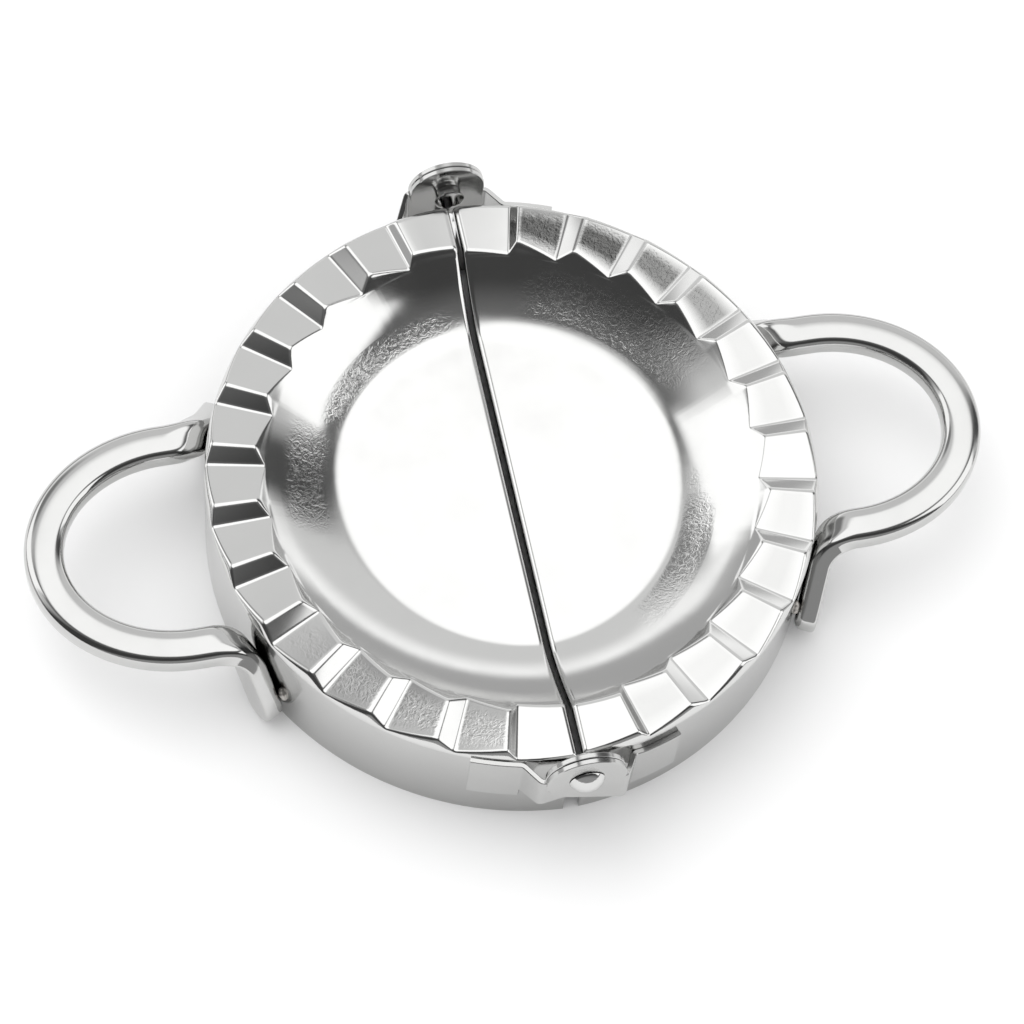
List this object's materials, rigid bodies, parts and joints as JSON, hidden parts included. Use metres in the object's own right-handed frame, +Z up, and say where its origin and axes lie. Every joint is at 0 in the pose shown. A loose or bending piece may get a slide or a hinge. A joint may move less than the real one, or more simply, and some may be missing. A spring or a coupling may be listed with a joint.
{
  "type": "empanada press",
  "caption": "Round hinged crimping press of pressed sheet: two half-round dishes with a scalloped rim, riveted hinge leaves and bar handles.",
  "frame": {"origin": "middle of the hinge line, on the table the open press stands on", "axes": "+Z up, X from the left handle to the right handle, Y along the hinge line, front hinge at -Y"},
  "size_m": [0.1502, 0.1078, 0.0256],
  "materials": {
    "pressed_sheet": "mirror polished stainless sheet",
    "handle_bar": "mirror polished stainless bar",
    "leaf_sheet": "polished stainless sheet",
    "rivet": "polished stainless",
    "weld": "cleaned weld metal"
  },
  "bodies": {
    "left_half": {"left_shell": "pressed_sheet", "left_handle": "handle_bar", "left_handle_weld_front": "weld", "left_handle_weld_rear": "weld", "front_inner_leaf": "leaf_sheet", "rear_outer_leaf": "leaf_sheet", "front_rivet": "rivet", "rear_rivet": "rivet"},
    "right_half": {"right_shell": "pressed_sheet", "right_handle": "handle_bar", "right_handle_weld_front": "weld", "right_handle_weld_rear": "weld", "front_outer_leaf": "leaf_sheet", "rear_inner_leaf": "leaf_sheet"}
  },
  "joints": [
    {"name": "fold", "type": "hinge", "parent": "left_half", "child": "right_half", "pos_m": [0, 0, 0.0196], "axis": [0, -1, 0], "range_deg": [-3, 178]}
  ]
}
